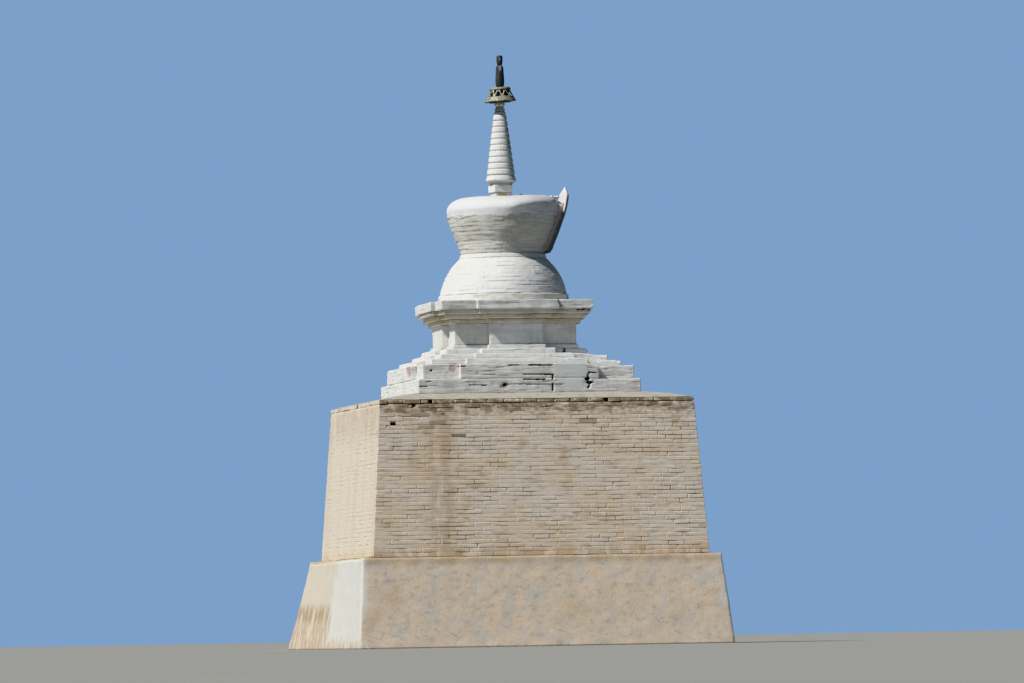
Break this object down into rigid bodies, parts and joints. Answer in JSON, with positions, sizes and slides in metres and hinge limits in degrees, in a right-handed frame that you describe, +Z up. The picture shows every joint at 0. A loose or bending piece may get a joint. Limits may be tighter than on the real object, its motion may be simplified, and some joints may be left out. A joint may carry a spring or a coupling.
{
  "type": "brick stupa on a brick pier",
  "caption": "Limewashed brick stupa with stepped base, dome, flaring bowl, leaning niche shield, ringed spire, metal parasol and finial, standing on its battered brick pier.",
  "frame": {"origin": "on the ground, at the middle of the pier's foot", "axes": "+Z up along the spire; X along the row and the wall that such piers stand in; -Y faces outward, and +Y is the inner side with the niche"},
  "size_m": [4.914, 5.272, 7.82],
  "materials": {
    "lime_masonry": "matte",
    "pier_brick": "matte",
    "foot_plaster": "matte",
    "lime_mortar": "matte",
    "stained_lime": "matte",
    "weathered_metal": "matte",
    "dark_metal": "satin"
  },
  "bodies": {
    "root": {"pier_foot": "foot_plaster", "pier_ledge_course": "pier_brick", "pier_shaft": "pier_brick", "pier_top_course": "pier_brick", "mortar_fillet": "lime_mortar", "tier_1": "lime_masonry", "tier_2": "lime_masonry", "tier_3": "lime_masonry", "tier_4": "lime_masonry", "tier_5": "lime_masonry", "waist_base_course": "lime_masonry", "waist_block": "lime_masonry", "corbel_course_1": "lime_masonry", "corbel_course_2": "lime_masonry", "corbel_course_3": "lime_masonry", "cornice_slab": "lime_masonry", "dome_base_ring": "lime_masonry", "dome": "lime_masonry", "neck_ring": "lime_masonry", "bowl": "lime_masonry", "bowl_cap": "lime_masonry", "niche_shield": "lime_masonry", "niche_frame": "lime_masonry", "harmika_footing": "stained_lime", "harmika": "lime_masonry", "spire_ring_01": "lime_masonry", "spire_ring_02": "lime_masonry", "spire_ring_03": "lime_masonry", "spire_ring_04": "lime_masonry", "spire_ring_05": "lime_masonry", "spire_ring_06": "lime_masonry", "spire_ring_07": "lime_masonry", "spire_ring_08": "lime_masonry", "spire_ring_09": "lime_masonry", "spire_ring_10": "lime_masonry", "spire_ring_11": "lime_masonry", "spire_ring_12": "stained_lime", "spire_ring_13": "stained_lime", "spire_collar": "stained_lime", "canopy_core": "dark_metal", "canopy_rim": "weathered_metal", "canopy_openwork": "weathered_metal", "canopy_top_plate": "weathered_metal", "finial_body": "dark_metal", "finial_head": "dark_metal"}
  },
  "joints": []
}
